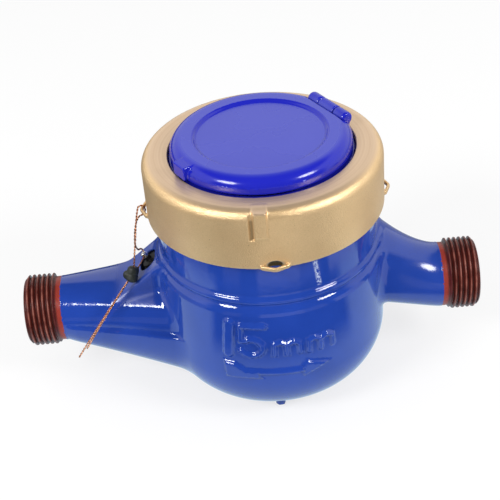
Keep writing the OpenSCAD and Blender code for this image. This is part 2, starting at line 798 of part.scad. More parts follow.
// pointer with a round boss and a short tail, at zero towards the dial's edge
module pointer(i) {
    p = pointer_pos(i);
    translate([p[0], p[1], pointer_z]) rotate(pointer_az(i)) difference() {
        union() {
            cylinder(r = 1.5, h = 0.8);
            linear_extrude(0.5) polygon([[-2, -0.7], [pointer_len, -0.12], [pointer_len, 0.12], [-2, 0.7]]);
        }
        translate([0, 0, -1]) cylinder(r = arbor_r + 0.01, h = 3, $fn = 24);
    }
}

module pointer_gear_1() pointer_gear(0);
module pointer_gear_2() pointer_gear(1);
module pointer_gear_3() pointer_gear(2);
module pointer_gear_4() pointer_gear(3);
module pointer_gear_5() pointer_gear(4);
module pointer_gear_6() pointer_gear(5);
module pointer_gear_7() pointer_gear(6);
module pointer_gear_8() pointer_gear(7);
module idler_1() idler(0);
module idler_2() idler(1);
module idler_3() idler(2);
module idler_4() idler(3);
module idler_5() idler(4);
module idler_6() idler(5);
module idler_7() idler(6);
module pointer_1() color("red") pointer(0);
module pointer_2() color("red") pointer(1);
module pointer_3() color("red") pointer(2);
module pointer_4() color("red") pointer(3);
module pointer_5() color("black") pointer(4);
module pointer_6() color("black") pointer(5);
module pointer_7() color("black") pointer(6);
module pointer_8() color("black") pointer(7);

// point on the smooth curve through the route, between points i and i + 1
function route(i, t) = let (n = len(wire_pts) - 1, a = wire_pts[max(i - 1, 0)], b = wire_pts[i],
    c = wire_pts[min(i + 1, n)], d = wire_pts[min(i + 2, n)])
    0.5 * (2 * b + (c - a) * t + (2 * a - 5 * b + 4 * c - d) * t * t
    + (3 * b - a - 3 * c + d) * t * t * t);
wire_line = [for (i = [0:len(wire_pts) - 2], t = [0, 0.5]) route(i, t), wire_pts[len(wire_pts) - 1]];
function unit(v) = v / norm(v);
function wire_ring(i) = let (n = len(wire_line) - 1,
    t = unit(wire_line[min(i + 1, n)] - wire_line[max(i - 1, 0)]),
    u = unit(cross(t, [0, 0.8, -0.6])), v = cross(t, u))
    [for (j = [0:7]) wire_line[i] + wire_r * (u * cos(45 * j) - v * sin(45 * j))];

// copper wire through the ear, the screw and the bead, with two free tails
module seal_wire() color("peru") {
    n = 8;
    rings = [for (i = [0:len(wire_line) - 1]) wire_ring(i)];
    m = len(rings);
    sides = [for (i = [0:m - 2], j = [0:n - 1])
        let (a = i * n + j, b = i * n + (j + 1) % n, c = a + n, d = b + n) each [[a, c, d], [a, d, b]]];
    polyhedron([for (r = rings) each r], concat([[for (j = [0:n - 1]) j]],
        [[for (j = [0:n - 1]) (m - 1) * n + n - 1 - j]], sides), 6);
}

// crimped bead on the two strands
module seal_bead() color("darkslategray") {
    translate(bead_pos) rotate([0, 30, 60]) intersection() {
        sphere(r = 2.7);
        cylinder(r = 2.1, h = 8, center = true);
    }
}

body();
collar();
lid();
lid_seat();
hinge_pin();
glass();
slip_ring();
glass_gasket();
gear_case();
strainer();
chamber();
pivot();
impeller();
register_base();
register_top();
dial();
first_gear();
star_gear();
star();
pointer_gear_1();
pointer_gear_2();
pointer_gear_3();
pointer_gear_4();
pointer_gear_5();
pointer_gear_6();
pointer_gear_7();
pointer_gear_8();
idler_1();
idler_2();
idler_3();
idler_4();
idler_5();
idler_6();
idler_7();
pointer_1();
pointer_2();
pointer_3();
pointer_4();
pointer_5();
pointer_6();
pointer_7();
pointer_8();
regulator_screw();
regulator_seal();
seal_wire();
seal_bead();
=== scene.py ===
import math

import bmesh
import bpy
import numpy as np
from mathutils import Matrix, Vector


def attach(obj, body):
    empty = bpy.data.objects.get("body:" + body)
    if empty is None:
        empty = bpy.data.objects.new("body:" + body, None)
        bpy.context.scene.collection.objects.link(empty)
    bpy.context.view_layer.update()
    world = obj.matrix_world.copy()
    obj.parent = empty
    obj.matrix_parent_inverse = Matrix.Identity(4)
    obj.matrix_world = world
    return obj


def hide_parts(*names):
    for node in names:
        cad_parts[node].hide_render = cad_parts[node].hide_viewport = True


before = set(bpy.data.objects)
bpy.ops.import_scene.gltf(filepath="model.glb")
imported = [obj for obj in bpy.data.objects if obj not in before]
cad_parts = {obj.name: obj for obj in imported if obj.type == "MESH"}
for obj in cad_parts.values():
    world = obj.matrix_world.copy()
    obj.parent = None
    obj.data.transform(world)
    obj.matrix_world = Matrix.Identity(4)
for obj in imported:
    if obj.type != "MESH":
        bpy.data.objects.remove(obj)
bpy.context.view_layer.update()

# Camera: a long lens in front of the meter and above it, turned to the photograph's angle.
lens = bpy.data.cameras.new("camera")
lens.sensor_fit, lens.sensor_width, lens.lens = "HORIZONTAL", 36.0, 89.7073
lens.clip_start, lens.clip_end = 0.01, 20.0
camera = bpy.data.objects.new("camera", lens)
bpy.context.scene.collection.objects.link(camera)
bpy.context.scene.camera = camera
across = Vector((0.99598, -0.05343, -0.071897))
upward = Vector((0.089545, 0.572614, 0.81492))
ahead = Vector((0.002372, 0.818082, -0.575097))
eye = Vector((-0.007987437, -0.368137736, 0.309048764))
camera.matrix_world = Matrix(
    [[across[i], upward[i], -ahead[i], eye[i]] for i in range(3)] + [[0, 0, 0, 1]]
)
bpy.context.scene.view_settings.view_transform = "Standard"


# Table: a white sheet under the meter that runs on behind it, with a dark cloth in front for the gloss.
# Two oval soft boxes hang left and right of the meter, and the room fills in the rest.
def put(tree, kind, settings=None, **sockets):
    made = tree.nodes.new(kind)
    for key, value in (settings or {}).items():
        setattr(made, key, value)
    for key, value in sockets.items():
        by_number = key[:2] == "in" and key[2:].isdigit()
        socket = made.inputs[int(key[2:]) if by_number else key.replace("_", " ")]
        if isinstance(value, bpy.types.NodeSocket):
            tree.links.new(value, socket)
        else:
            socket.default_value = value
    return made


def reckon(tree, how, *values):
    sockets = {"in%d" % i: value for i, value in enumerate(values)}
    return put(tree, "ShaderNodeMath", {"operation": how}, **sockets).outputs[0]


def ramp(tree, value, start, end, low=0.0, high=1.0, kind="LINEAR"):
    made = put(
        tree, "ShaderNodeMapRange", {"interpolation_type": kind}, in0=value, in1=start, in2=end, in3=low,
        in4=high
    )
    return made.outputs[0]


def eased(tree, *stops):
    return ramp(tree, *stops, kind="SMOOTHSTEP")


def blend_of(tree, mask, one, other):
    return put(tree, "ShaderNodeMix", {"data_type": "RGBA"}, in0=mask, in6=one, in7=other).outputs[2]


def place_in(tree):
    return put(tree, "ShaderNodeTexCoord").outputs["Object"]


def finish_named(name):
    made = bpy.data.materials.new(name)
    made.use_nodes = True
    made.node_tree.nodes.clear()
    return made, made.node_tree


def mesh_piece(name, verts, faces, material, body="meter", smooth=True, normals=None):
    mesh = bpy.data.meshes.new(name)
    mesh.from_pydata([tuple(v) for v in np.asarray(verts) * 0.001], [], [tuple(f) for f in faces])
    mesh.polygons.foreach_set("use_smooth", [smooth] * len(mesh.polygons))
    mesh.materials.append(material)
    mesh.update()
    if normals is not None:
        mesh.normals_split_custom_set_from_vertices(normals)
    piece = bpy.data.objects.new(name, mesh)
    bpy.context.scene.collection.objects.link(piece)
    if body:
        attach(piece, body)
    return piece


bright_edge, panel_edge = (0.07, 0.09), (0.112, 0.128)
cloth_left, cloth_right, panel_half = (-1.0, -0.85), (1.0, 1.2), 2.0
bright_tone, cloth_tone = (0.72, 0.9, 1.0, 1.0), (0.03, 0.03, 0.035, 1.0)
sheet, tree = finish_named("white_sheet")
path = put(tree, "ShaderNodeLightPath")
where = place_in(tree)
apart = put(tree, "ShaderNodeSeparateXYZ", Vector=where)
reach = put(tree, "ShaderNodeVectorMath", {"operation": "LENGTH"}, in0=where)
ring = eased(tree, reach.outputs["Value"], *bright_edge)
bearing = reckon(tree, "ARCTAN2", apart.outputs["X"], reckon(tree, "MULTIPLY", apart.outputs["Y"], -1.0))
left = eased(tree, bearing, *cloth_left)
right = eased(tree, bearing, *cloth_right, 1.0, 0.0)
panels = put(tree, "ShaderNodeValToRGB", in0=ramp(tree, bearing, -panel_half, panel_half))
for turn, tone in (
    (-92, 0.3), (-61, 0.34), (-58, 0.04), (-46, 0.04), (-43, 0.25), (-31, 0.25), (-28, 0.04), (-15, 0.04),
    (-12, 0.6), (23, 0.6), (25, 0.3), (43, 0.3), (45, 0.04), (51, 0.04), (54, 0.75), (85, 0.75), (87, 0.1),
    (95, 0.1), (98, 0.8)
):
    stop = panels.color_ramp.elements.new((math.radians(turn) + panel_half) / (2 * panel_half))
    stop.color = (tone, tone, tone, 1.0)
stops = panels.color_ramp.elements
for stop, tone in ((stops[0], 0.12), (stops[-1], 0.45)):
    stop.color = (tone, tone, tone, 1.0)
far = eased(tree, reach.outputs["Value"], *panel_edge)
cloth = reckon(tree, "MULTIPLY", ring, reckon(tree, "MULTIPLY", left, right))
near_tone = blend_of(tree, cloth, bright_tone, cloth_tone)
mirrored = blend_of(tree, far, near_tone, panels.outputs[0])
lit = put(tree, "ShaderNodeBsdfDiffuse", Color=(0.86, 0.86, 0.86, 1.0))
seen = reckon(tree, "MULTIPLY", path.outputs["Is Camera Ray"], 0.72)
white = put(tree, "ShaderNodeEmission", Color=(1.0, 1.0, 1.0, 1.0), Strength=1.0)
plain = put(tree, "ShaderNodeMixShader", in0=seen, in1=lit.outputs[0], in2=white.outputs[0])
back = put(tree, "ShaderNodeEmission", Color=mirrored, Strength=1.0)
through = reckon(tree, "MAXIMUM", path.outputs["Is Glossy Ray"], path.outputs["Is Transmission Ray"])
both = put(tree, "ShaderNodeMixShader", in0=through, in1=plain.outputs[0], in2=back.outputs[0])
put(tree, "ShaderNodeOutputMaterial", Surface=both.outputs[0])
half_sheet = 4000
corners = [(a * half_sheet, b * half_sheet, 0) for a, b in ((-1, -1), (1, -1), (1, 1), (-1, 1))]
table = mesh_piece("table", corners, [(0, 1, 2, 3)], sheet, body=None)

room = bpy.data.worlds.new("room")
bpy.context.scene.world = room
room.use_nodes = True
tree = room.node_tree
tree.nodes.clear()
path = put(tree, "ShaderNodeLightPath")
open_view = reckon(
    tree, "MAXIMUM", path.outputs["Is Camera Ray"],
    reckon(tree, "MAXIMUM", path.outputs["Is Glossy Ray"], path.outputs["Is Transmission Ray"])
)
strength = ramp(tree, open_view, 0.0, 1.0, 0.71, 1.0)
apart = put(tree, "ShaderNodeSeparateXYZ", Vector=put(tree, "ShaderNodeTexCoord").outputs["Generated"])
toward = reckon(tree, "MULTIPLY", apart.outputs["Y"], -1.0)
bearing = reckon(tree, "ARCTAN2", apart.outputs["X"], toward)
left = eased(tree, bearing, -1.25, -1.0)
right = eased(tree, bearing, 1.2, 1.45, 1.0, 0.0)
front = reckon(tree, "MULTIPLY", left, right)
ceiling = eased(tree, apart.outputs["Z"], 0.66, 0.80)
front = reckon(tree, "MAXIMUM", front, ceiling)
front = reckon(tree, "MULTIPLY", front, path.outputs["Is Glossy Ray"])
tone = blend_of(tree, front, (1.0, 1.0, 1.0, 1.0), (0.06, 0.06, 0.065, 1.0))
sky = put(tree, "ShaderNodeBackground", Color=tone, Strength=strength)
put(tree, "ShaderNodeOutputWorld", Surface=sky.outputs[0])

box_wide, box_high, aim = 0.33, 0.24, Vector((0, 0, 0.05))
for place, power in (((-0.560, -0.462, 0.634), 4.6), ((0.619, -0.418, 0.602), 4.2)):
    lamp = bpy.data.lights.new("soft_box", "AREA")
    lamp.shape, lamp.size, lamp.size_y, lamp.energy = "ELLIPSE", box_wide, box_high, power
    box = bpy.data.objects.new("soft_box", lamp)
    bpy.context.scene.collection.objects.link(box)
    box.location = place
    box.rotation_mode = "QUATERNION"
    box.rotation_quaternion = (aim - box.location).to_track_quat("-Z", "Y")


# Casting: one grey-iron casting, bowl, two nozzles and the regulator boss in one, sprayed with gloss blue enamel.
# The fillets, the size mark and the flow arrow come from the mould.
def joined(a, b, k):
    h = np.clip(0.5 + 0.5 * (b - a) / k, 0, 1)
    return b + (a - b) * h - k * h * (1 - h)


def cut(a, b, k):
    return -joined(-a, b, k)


def turned(r, z, radius, low, top, low_round, top_round):
    half, mid = (top - low) / 2, (top + low) / 2
    k = np.where(z < mid, low_round, top_round)
    qr, qz = r - radius + k, np.abs(z - mid) - half + k
    return np.hypot(np.maximum(qr, 0), np.maximum(qz, 0)) + np.minimum(np.maximum(qr, qz), 0) - k


# Meshes a distance field where it is zero: one corner per crossed cell, then slid until the mesh is even.
def skin(field, low, high, step, relax=3):
    low, high = np.array(low, float), np.array(high, float)
    count = np.ceil((high - low) / step).astype(int) + 1
    lines = [low[i] + step * np.arange(count[i]) for i in range(3)]
    value = np.empty(count, np.float32)
    for i in range(0, count[0], 12):
        value[i:i + 12] = field(*np.meshgrid(lines[0][i:i + 12], lines[1], lines[2], indexing="ij"))
    inside = value < 0
    corners = [(i, j, k) for i in (0, 1) for j in (0, 1) for k in (0, 1)]
    span = [slice(0, -1), slice(1, None)]
    held = sum(inside[span[i], span[j], span[k]].astype(np.int8) for i, j, k in corners)
    cell = np.argwhere((held > 0) & (held < 8))
    index = np.full(held.shape, -1, np.int64)
    index[tuple(cell.T)] = np.arange(len(cell))
    at = np.stack([value[tuple((cell + c).T)] for c in corners], 1).astype(float)
    total, hits = np.zeros((len(cell), 3)), np.zeros(len(cell))
    for a, ca in enumerate(corners):
        for b, cb in enumerate(corners):
            if b > a and sum(abs(p - q) for p, q in zip(ca, cb)) == 1:
                crossed = (at[:, a] < 0) != (at[:, b] < 0)
                t = np.where(crossed, at[:, a] / np.where(crossed, at[:, a] - at[:, b], 1), 0)
                total += crossed[:, None] * (np.array(ca) + t[:, None] * (np.array(cb) - np.array(ca)))
                hits += crossed
    point = low + step * (cell + total / hits[:, None])
    faces = []
    for axis in range(3):
        u, v = (axis + 1) % 3, (axis + 2) % 3
        first, second = [slice(None)] * 3, [slice(None)] * 3
        first[axis], second[axis] = slice(0, -1), slice(1, None)
        a, b = inside[tuple(first)], inside[tuple(second)]
        edge = np.argwhere(a != b)
        at_u, at_v = edge[:, u], edge[:, v]
        edge = edge[(at_u > 0) & (at_v > 0) & (at_u < held.shape[u]) & (at_v < held.shape[v])]
        quad = []
        for du, dv in ((1, 1), (0, 1), (0, 0), (1, 0)):
            c = edge.copy()
            c[:, u] -= du
            c[:, v] -= dv
            quad.append(index[tuple(c.T)])
        quad = np.stack(quad, 1)
        out = a[tuple(edge.T)]
        quad[~out] = quad[~out][:, ::-1]
        faces.append(quad)
    faces = np.concatenate(faces)

    def slope(p, h=0.04):
        return np.stack([field(*(p + d).T) - field(*(p - d).T) for d in np.eye(3) * h], 1) / (2 * h)

    def settle(p, rounds):
        for _ in range(rounds):
            g = slope(p)
            d = field(*p.T) / np.maximum((g * g).sum(1), 1e-3)
            p = p - np.clip(d, -step, step)[:, None] * g
        return p

    point = settle(point, 2)
    for _ in range(relax):
        near, links = np.zeros_like(point), np.zeros(len(point))
        for i in range(4):
            p, q = faces[:, i], faces[:, (i + 1) % 4]
            for s, e in ((p, q), (q, p)):
                for d in range(3):
                    near[:, d] += np.bincount(s, point[e, d], len(point))
                links += np.bincount(s, minlength=len(point))
        pull = near / links[:, None] - point
        g = slope(point)
        g /= np.linalg.norm(g, axis=1)[:, None] + 1e-9
        point = settle(point + 0.5 * (pull - (pull * g).sum(1)[:, None] * g), 1)
    point = settle(point, 1)
    g = slope(point)
    return point, faces, g / (np.linalg.norm(g, axis=1)[:, None] + 1e-9)


def oval(y, z, wide, up, down, power):
    tall = np.where(z > 0, up, down)
    g = ((np.abs(y) / wide) ** power + (np.abs(z) / tall) ** power) ** (1 / power)
    return np.hypot(y, z) * (1 - 1 / np.maximum(g, 1e-6))


def stroke(u, v, line, half):
    best = np.full(np.shape(u), 9.0)
    for (ax, ay), (bx, by) in zip(line[:-1], line[1:]):
        ex, ey = bx - ax, by - ay
        t = np.clip(((u - ax) * ex + (v - ay) * ey) / (ex * ex + ey * ey), 0, 1)
        best = np.minimum(best, np.hypot(u - ax - t * ex, v - ay - t * ey))
    return best - half


def plate(u, v, corners):
    best = np.full(np.shape(u), -99.0)
    for (ax, ay), (bx, by) in zip(corners, corners[1:] + corners[:1]):
        long = math.hypot(bx - ax, by - ay)
        best = np.maximum(best, ((v - ay) * (bx - ax) - (u - ax) * (by - ay)) / long)
    return best


def mould_marks(u, v):
    best = stroke(u, v, [(-16.5, 47.4), (-17.7, 34.4)], 1.7)
    five = [(-4.8, 46.8), (-12.7, 46.8), (-12.9, 40.4)]
    for a in np.radians(np.arange(130, -151, -28)):
        five.append((-9.5 + 4.0 * math.cos(a), 37.7 + 3.5 * math.sin(a)))
    best = np.minimum(best, stroke(u, v, five, 0.95))
    letter = [
        (-1.7, 34.3), (-1.6, 39.0), (0.4, 39.6), (2.2, 38.6), (2.5, 34.3), (2.4, 38.4), (4.8, 39.6),
        (6.9, 38.4), (7.2, 34.3)
    ]
    for shift, drop in ((0.0, 0.0), (11.9, 0.4)):
        best = np.minimum(best, stroke(u - shift, v + drop, letter, 0.7))
    arrow = plate(u, v, [(-19.5, 30.3), (-15.7, 30.2), (-7.3, 24.2), (-19.2, 23.8)])
    arrow = np.minimum(arrow, plate(u, v, [(-13, 27.7), (-7.3, 27.7), (-7.3, 24.2), (-13, 24.1)]))
    arrow = np.minimum(arrow, plate(u, v, [(-8, 27.7), (8, 27.4), (8, 25.7), (-8, 26.0)]))
    head = plate(u, v, [(7.6, 28.2), (9.2, 29.8), (16.8, 27.1), (7.8, 23.8)])
    return np.minimum(best, np.minimum(arrow, head))


pipe_z, bore_r, nozzle_r = 32, 7.5, 11.9
inlet_face, outlet_face = -90, 75
bowl_r, bowl_top, belly_round, shoulder_round = 40.7, 54.85, 23.5, 4.5
mark_r, mark_edge, mark_rise = 40.2, 1.4, 1.15
neck_r, neck_top, spigot_r, spigot_top = 38.5, 70.3, 38.0, 81
bead_r, bead_z, bead_half = 38.3, 55.8, 1.4
screw_x, screw_z = -44, 51.1
boss_cos, boss_sin = 0.7804, 0.6252
recess_r, recess_deep, screw_bore_r, screw_bore_deep = 3.7, 2.4, 2.7, 9
inlet_start, inlet_run, outlet_start, outlet_run = -76, 41.8, 61, 24.8
boss_y, boss_half, boss_top = -1, 10, 66
cavity_r, floor_t, cavity_round = 35, 5.2, 18.3
nub_x, nub_y, nub_r = -0.6, -27.4, 1.8


def screw_frame(x, z):
    out, up = x - screw_x, z - screw_z
    return boss_cos * up - boss_sin * out, boss_cos * out + boss_sin * up


def casting_field(x, y, z):
    r = np.hypot(x, y)
    bowl = turned(r, z, bowl_r, 0, bowl_top, belly_round, shoulder_round)
    mark = mould_marks(np.arctan2(x, -y) * mark_r, z)
    lift = np.clip((mark_edge / 2 - mark) / mark_edge, 0, 1)
    bowl = bowl - np.where((y < -20) & (r > 36), mark_rise * lift * lift * (3 - 2 * lift), 0)
    neck = turned(r, z, neck_r, 30, neck_top, 1, 0.3)
    spigot = turned(r, z, spigot_r, 30, spigot_top, 1, 0.3)
    outside = joined(bowl, np.minimum(neck, spigot), 1.2)
    outside = joined(outside, np.hypot(r - bead_r, z - bead_z) - bead_half, 0.8)
    s = np.clip((x - inlet_start) / inlet_run, 0, 1.2)
    ledge = np.clip((32.6 - 1.4 * s - z) / 1.4, 0, 1)
    ledge = ledge * ledge * (3 - 2 * ledge)
    shelf = ledge * (0.5 * np.clip(s * 12, 0, 1) + 2.4 * s - 0.8 * s * s)
    wide = nozzle_r + 6.3 * s + 2.4 * s * s + shelf
    inlet = oval(y, z - pipe_z, wide, nozzle_r + 1.7 * s, nozzle_r + 14.3 * s, 2 + 0.6 * s)
    inlet = np.maximum(np.maximum(inlet, x + 24), -77 - x)
    t = np.clip((outlet_start - x) / outlet_run, 0, 1.3)
    high = z - pipe_z - 6 * t ** 1.3
    outlet = oval(y, high, nozzle_r + 4 * t * t, nozzle_r + 12.4 * t ** 1.7, nozzle_r - 1.5 * t, 2.0)
    outlet = np.maximum(np.maximum(outlet, 26 - x), x - 62)
    rise, along = screw_frame(x, z)
    boss = -joined(-rise, -(np.abs(y - boss_y) - boss_half), 2.2)
    boss = np.maximum(np.maximum(boss, -56 - x), np.maximum(x + 30, 34 - z))
    boss = np.maximum(boss, z - boss_top)
    outside = joined(outside, joined(inlet, boss, 2), 2.4)
    outside = joined(outside, outlet, 2.6)
    nub = np.maximum(np.hypot(x - nub_x, y - nub_y) - nub_r, 0.4 - z)
    outside = joined(outside, np.maximum(nub, z - 8), 1)
    open_in = turned(r, z, cavity_r, floor_t, 100, cavity_round, 0.1)
    for end, way, climb, run in ((inlet_face, 1, -12, 44), (outlet_face, -1, 15, 29)):
        inward = (x - end) * way
        straight = np.maximum(np.hypot(y, z - pipe_z) - bore_r, inward - 18)
        long = math.hypot(run, climb)
        ex, ez = run / long, climb / long
        px, pz = inward - 16, z - pipe_z
        on = px * ex + pz * ez
        slope = np.maximum(np.hypot(y, pz * ex - px * ez) - bore_r, np.maximum(-on, on - long))
        open_in = np.minimum(open_in, np.minimum(straight, slope))
    around = np.hypot(y, along)
    wide = np.hypot(y - np.clip(y, -2.6, 0), along)
    recess = np.maximum(wide - recess_r, -rise - recess_deep)
    recess = np.minimum(recess, np.maximum(around - screw_bore_r, -rise - screw_bore_deep))
    return cut(cut(outside, open_in, 0.5), recess, 0.4)


# The finish groups: slow colour drift in a surface, and fine grain that lifts it.
def group_named(name, takes, gives):
    group = bpy.data.node_groups.new(name, "ShaderNodeTree")
    for way, titles in (("INPUT", takes), ("OUTPUT", gives)):
        for title in titles:
            group.interface.new_socket(title, in_out=way, socket_type="NodeSocketFloat")
    return group


drift_group = group_named("slow_drift", ("Scale", "Low", "High"), ("Mask", "Value"))
given = put(drift_group, "NodeGroupInput")
noise = put(
    drift_group, "ShaderNodeTexNoise", Vector=place_in(drift_group), Scale=given.outputs["Scale"], Detail=4.0
)
spread = eased(drift_group, noise.outputs["Fac"], 0.2, 0.8)
value = ramp(drift_group, spread, 0.0, 1.0, given.outputs["Low"], given.outputs["High"])
put(drift_group, "NodeGroupOutput", Mask=spread, Value=value)

grain_group = group_named("fine_grain", ("Scale", "Strength"), ("Height",))
given = put(grain_group, "NodeGroupInput")
noise = put(
    grain_group, "ShaderNodeTexNoise", Vector=place_in(grain_group), Scale=given.outputs["Scale"], Detail=2.0
)
put(
    grain_group, "NodeGroupOutput",
    Height=reckon(grain_group, "MULTIPLY", noise.outputs["Fac"], given.outputs["Strength"])
)


def drift_in(tree, scale, low, high):
    return put(tree, "ShaderNodeGroup", {"node_tree": drift_group}, Scale=scale, Low=low, High=high)


def grain_in(tree, scale, strength, distance=0.0003):
    fine = put(tree, "ShaderNodeGroup", {"node_tree": grain_group}, Scale=scale, Strength=strength)
    return put(
        tree, "ShaderNodeBump", Strength=1.0, Distance=distance, Height=fine.outputs["Height"]
    ).outputs[0]


enamel, tree = finish_named("blue_enamel")
drift = drift_in(tree, 60.0, 0.03, 0.08)
tint = blend_of(tree, drift.outputs["Mask"], (0.0105, 0.041, 0.275, 1), (0.013, 0.049, 0.32, 1))
apart = put(tree, "ShaderNodeSeparateXYZ", Vector=place_in(tree))
# Painted highlight: a thin pale blue streak up the front of the neck, broken up by noise, stands in for a
# highlight streak.
lean = reckon(tree, "MULTIPLY_ADD", apart.outputs["Z"], 0.12, -0.0222)
across_mark = reckon(tree, "ABSOLUTE", reckon(tree, "ADD", apart.outputs["X"], lean))
thin = ramp(tree, across_mark, 0.0003, 0.0010, 1.0, 0.0)
low_end = ramp(tree, apart.outputs["Z"], 0.0583, 0.0592)
facing = ramp(tree, apart.outputs["Y"], -0.034, -0.0345)
streak_breakup = put(tree, "ShaderNodeTexNoise", Vector=place_in(tree), Scale=1500.0, Detail=3.0)
streak_breakup = ramp(tree, streak_breakup.outputs["Fac"], 0.44, 0.52)
painted_highlight_streak = reckon(tree, "MULTIPLY", thin, low_end)
painted_highlight_streak = reckon(tree, "MULTIPLY", painted_highlight_streak, streak_breakup)
painted_highlight_streak = reckon(tree, "MULTIPLY", painted_highlight_streak, facing)
tint = blend_of(tree, painted_highlight_streak, tint, (0.38, 0.44, 0.62, 1))
# Painted shade: the enamel inside the screw recess is coloured near-black where the recess lies in shade.
from_screw = put(
    tree, "ShaderNodeVectorMath", {"operation": "DISTANCE"}, in0=place_in(tree), in1=(-0.0433, -0.0013, 0.0502)
)
close = ramp(tree, from_screw.outputs["Value"], 0.0066, 0.0060)
rise = put(
    tree, "ShaderNodeVectorMath", {"operation": "DOT_PRODUCT"}, in0=place_in(tree),
    in1=(-boss_sin, 0.0, boss_cos)
)
under = ramp(tree, rise.outputs["Value"], 0.0671, 0.0666)
painted_recess_shade = reckon(tree, "MULTIPLY", close, under)
tint = blend_of(tree, painted_recess_shade, tint, (0.004, 0.005, 0.014, 1))
on_outlet = eased(tree, apart.outputs["X"], 0.038, 0.050, 0.0, 0.10)
on_boss = eased(tree, apart.outputs["X"], -0.0410, -0.0435, 0.0, 0.3)
upper = eased(tree, apart.outputs["Z"], 0.0400, 0.0425)
inner = eased(tree, apart.outputs["X"], -0.0585, -0.0545)
upper = reckon(tree, "MULTIPLY", upper, inner)
on_boss = reckon(tree, "MULTIPLY", on_boss, upper)
dull = reckon(tree, "ADD", on_boss, on_outlet)
gloss = reckon(tree, "ADD", drift.outputs["Value"], dull)
paint = put(
    tree, "ShaderNodeBsdfPrincipled", Base_Color=tint, Roughness=gloss, IOR=1.58,
    Normal=grain_in(tree, 420.0, 0.06, 0.0004)
)
put(tree, "ShaderNodeOutputMaterial", Surface=paint.outputs[0])


def part_of(name, point, faces, normal, keep, material):
    used, index = np.unique(faces[keep], return_inverse=True)
    return mesh_piece(
        name, point[used], index.reshape(-1, 4), material, normals=normal[used]
    )


point, faces, normal = skin(casting_field, (-80, -44, -2), (65, 44, 84), 0.64)
middle = point[faces].mean(1)
in_bowl = (np.hypot(middle[:, 0], middle[:, 1]) < 36.3) & (middle[:, 2] > 4.6)
in_bore = (np.hypot(middle[:, 1], middle[:, 2] - pipe_z) < bore_r + 0.3) & (np.abs(middle[:, 0]) > 36)
hidden = in_bowl | in_bore
casting = part_of("casting", point, faces, normal, ~hidden, enamel)
part_of("casting_inside", point, faces, normal, hidden, enamel)
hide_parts("body")


# Threaded ends: pipe thread cut on both nozzles and left in red-brown primer, the crests painted lighter as a
# painted highlight.
# A smooth red band at the root of each thread shows where the blue coat was masked off.
primer, tree = finish_named("red_primer")
where = place_in(tree)
apart = put(tree, "ShaderNodeSeparateXYZ", Vector=where)
lift = reckon(tree, "SUBTRACT", apart.outputs["Z"], 0.032)
flat = put(tree, "ShaderNodeCombineXYZ", X=apart.outputs["Y"], Y=lift)
radius = put(tree, "ShaderNodeVectorMath", {"operation": "LENGTH"}, in0=flat.outputs[0])
crest = ramp(tree, radius.outputs["Value"], 0.0127, 0.01304)
from_mid = reckon(tree, "ABSOLUTE", reckon(tree, "ADD", apart.outputs["X"], 0.0075))
band = ramp(tree, from_mid, 0.0706, 0.0713, 1.0, 0.0)
drift = drift_in(tree, 300.0, 0.28, 0.5)
# Painted highlight: the crests are coloured lighter in patches to stand in for their highlights.
crest_highlight = reckon(tree, "MULTIPLY", crest, drift.outputs["Mask"])
dark = blend_of(tree, drift.outputs["Mask"], (0.062, 0.0085, 0.0055, 1), (0.115, 0.016, 0.011, 1))
with_crest_highlight = blend_of(tree, crest_highlight, dark, (0.30, 0.10, 0.07, 1))
tint = blend_of(tree, band, with_crest_highlight, (0.26, 0.024, 0.013, 1))
paint = put(
    tree, "ShaderNodeBsdfPrincipled", Base_Color=tint, Roughness=drift.outputs["Value"], IOR=1.45,
    Normal=grain_in(tree, 900.0, 0.3, 0.0003)
)
put(tree, "ShaderNodeOutputMaterial", Surface=paint.outputs[0])


def thread_end(name, end, way):
    round_count, pitch, thread_run = 120, 1.814, 11.6
    root_r, tooth_rise, relief_r, end_run = 11.75, 1.3, 11.72, 14.2
    turn = np.arange(round_count) / round_count * 2 * math.pi
    rows = [(end_run, bore_r), (0.5, bore_r), (0.12, 7.7), (0.0, 8.1), (0.0, 11.2)]
    for d in np.concatenate([np.linspace(0.0, thread_run, 118), np.linspace(11.8, end_run, 8)]):
        phase = (d / pitch - turn / (2 * math.pi)) % 1.0
        tooth = np.clip(1.35 * (1 - 2 * np.abs(phase - 0.5)) - 0.18, 0, 1)
        wave = root_r + tooth_rise * tooth * tooth * (3 - 2 * tooth)
        start, leave = 11.5 + 1.1 * d, relief_r + max(0.0, (11.3 - d) * 1.6)
        if d < 11.7:
            rows.append((d, np.minimum(np.minimum(wave, start), leave)))
        else:
            rows.append((d, relief_r + 0.1 * (d - 11.8) / 2.4))
    rings = []
    for d, r in rows:
        along, r = np.full(round_count, end + way * d), np.broadcast_to(r, round_count)
        rings.append(np.stack([along, r * np.cos(turn), pipe_z + r * np.sin(turn)], 1))
    verts = np.concatenate(rings)
    count = len(rows)
    faces = []
    for i in range(count):
        this, after = i * round_count, (i + 1) % count * round_count
        for j in range(round_count):
            k = (j + 1) % round_count
            quad = (this + j, this + k, after + k, after + j)
            faces.append(quad if way < 0 else quad[::-1])
    return mesh_piece(name, verts, faces, primer)


thread_end("inlet_thread", inlet_face, 1)
thread_end("outlet_thread", outlet_face, -1)


# Wet works: strainer basket, measuring chamber and vane wheel, moulded in white plastic and stacked in the bowl.
# The wheel runs on a hard steel pivot pressed into the chamber floor.
def plastic_named(name, one, other, rough, scale=90.0):
    made, tree = finish_named(name)
    drift = drift_in(tree, scale, rough - 0.05, rough + 0.07)
    tint = blend_of(tree, drift.outputs["Mask"], one, other)
    body = put(
        tree, "ShaderNodeBsdfPrincipled", Base_Color=tint, Roughness=drift.outputs["Value"], IOR=1.5,
        Normal=grain_in(tree, 700.0, 0.12, 0.0002)
    )
    put(tree, "ShaderNodeOutputMaterial", Surface=body.outputs[0])
    return made


